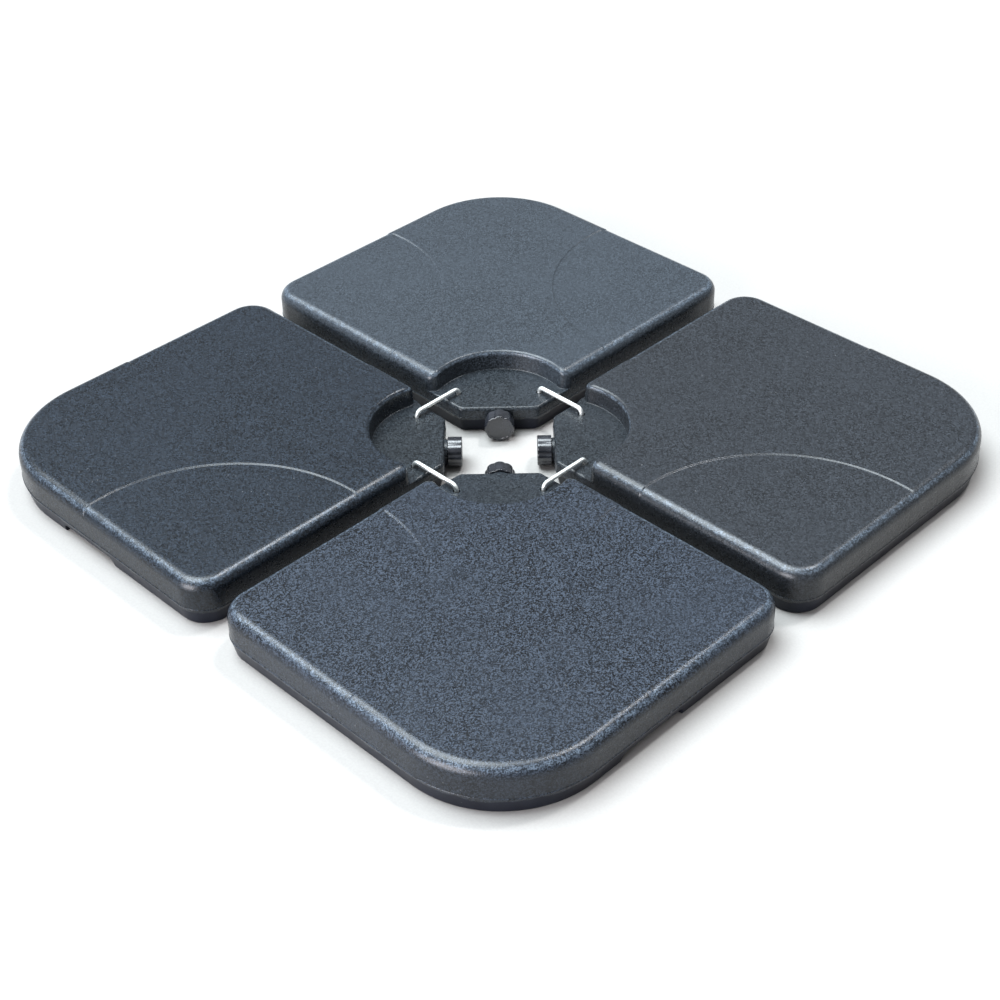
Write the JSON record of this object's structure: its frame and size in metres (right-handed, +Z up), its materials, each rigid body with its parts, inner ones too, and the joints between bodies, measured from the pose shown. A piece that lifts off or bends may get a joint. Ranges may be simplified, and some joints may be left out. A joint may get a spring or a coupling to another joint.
{
  "type": "parasol base",
  "caption": "Square low ballast set for a cantilever parasol: hollow plastic tanks round a cross-shaped gap, with screw caps facing the middle and wire clips across the gaps.",
  "frame": {"origin": "middle of the set, on the ground", "axes": "+Z up; X and Y run along the gaps between the tanks, with tank_right in the +X +Y quadrant and tank_front in the +X -Y quadrant"},
  "size_m": [1, 1, 0.068],
  "materials": {
    "tank_plastic": "grained dark blue-grey HDPE",
    "cap_plastic": "smooth black",
    "gasket_rubber": "matt",
    "clip_zinc": "bright zinc plate",
    "ballast_sand": "dry sand"
  },
  "bodies": {
    "base": {"tank_front": "tank_plastic", "tank_back": "tank_plastic", "ballast_front": "ballast_sand", "ballast_back": "ballast_sand"},
    "left_tank": {"tank_left": "tank_plastic", "ballast_left": "ballast_sand"},
    "right_tank": {"tank_right": "tank_plastic", "ballast_right": "ballast_sand"},
    "seal_right": {"gasket_right": "gasket_rubber"},
    "screw_cap_right": {"cap_right": "cap_plastic"},
    "seal_back": {"gasket_back": "gasket_rubber"},
    "screw_cap_back": {"cap_back": "cap_plastic"},
    "seal_left": {"gasket_left": "gasket_rubber"},
    "screw_cap_left": {"cap_left": "cap_plastic"},
    "seal_front": {"gasket_front": "gasket_rubber"},
    "screw_cap_front": {"cap_front": "cap_plastic"},
    "clip_front_right": {"clip_front_right": "clip_zinc"},
    "clip_right_back": {"clip_right_back": "clip_zinc"},
    "clip_back_left": {"clip_back_left": "clip_zinc"},
    "clip_left_front": {"clip_left_front": "clip_zinc"}
  },
  "joints": [
    {"name": "left_tank_lift", "type": "slide", "parent": "base", "child": "left_tank", "axis": [0, 0, 1], "range_m": [0, 0.12]},
    {"name": "right_tank_lift", "type": "slide", "parent": "base", "child": "right_tank", "axis": [0, 0, 1], "range_m": [0, 0.12]},
    {"name": "cap_right_travel", "type": "slide", "parent": "right_tank", "child": "seal_right", "axis": [-0.7071, -0.7071, 0], "range_m": [0, 0.0141]},
    {"name": "cap_right_turn", "type": "hinge", "parent": "seal_right", "child": "screw_cap_right", "pos_m": [0.05197, 0.05197, 0.02088], "axis": [-0.7071, -0.7071, 0], "range_deg": [0, 1260]},
    {"name": "cap_back_travel", "type": "slide", "parent": "base", "child": "seal_back", "axis": [0.7071, -0.7071, 0], "range_m": [0, 0.0141]},
    {"name": "cap_back_turn", "type": "hinge", "parent": "seal_back", "child": "screw_cap_back", "pos_m": [-0.05197, 0.05197, 0.02088], "axis": [0.7071, -0.7071, 0], "range_deg": [0, 1260]},
    {"name": "cap_left_travel", "type": "slide", "parent": "left_tank", "child": "seal_left", "axis": [0.7071, 0.7071, 0], "range_m": [0, 0.0141]},
    {"name": "cap_left_turn", "type": "hinge", "parent": "seal_left", "child": "screw_cap_left", "pos_m": [-0.05197, -0.05197, 0.02088], "axis": [0.7071, 0.7071, 0], "range_deg": [0, 1260]},
    {"name": "cap_front_travel", "type": "slide", "parent": "base", "child": "seal_front", "axis": [-0.7071, 0.7071, 0], "range_m": [0, 0.0141]},
    {"name": "cap_front_turn", "type": "hinge", "parent": "seal_front", "child": "screw_cap_front", "pos_m": [0.05197, -0.05197, 0.02088], "axis": [-0.7071, 0.7071, 0], "range_deg": [0, 1260]},
    {"name": "clip_front_right_lift", "type": "slide", "parent": "right_tank", "child": "clip_front_right", "axis": [0, 0, 1], "range_m": [0, 0.04]},
    {"name": "clip_right_back_lift", "type": "slide", "parent": "right_tank", "child": "clip_right_back", "axis": [0, 0, 1], "range_m": [0, 0.04]},
    {"name": "clip_back_left_lift", "type": "slide", "parent": "left_tank", "child": "clip_back_left", "axis": [0, 0, 1], "range_m": [0, 0.04]},
    {"name": "clip_left_front_lift", "type": "slide", "parent": "left_tank", "child": "clip_left_front", "axis": [0, 0, 1], "range_m": [0, 0.04]}
  ],
  "couplings": [
    {"joint": "cap_right_travel", "follows": "cap_right_turn", "m_per_rad": 0.00063662},
    {"joint": "cap_back_travel", "follows": "cap_back_turn", "m_per_rad": 0.00063662},
    {"joint": "cap_left_travel", "follows": "cap_left_turn", "m_per_rad": 0.00063662},
    {"joint": "cap_front_travel", "follows": "cap_front_turn", "m_per_rad": 0.00063662}
  ]
}
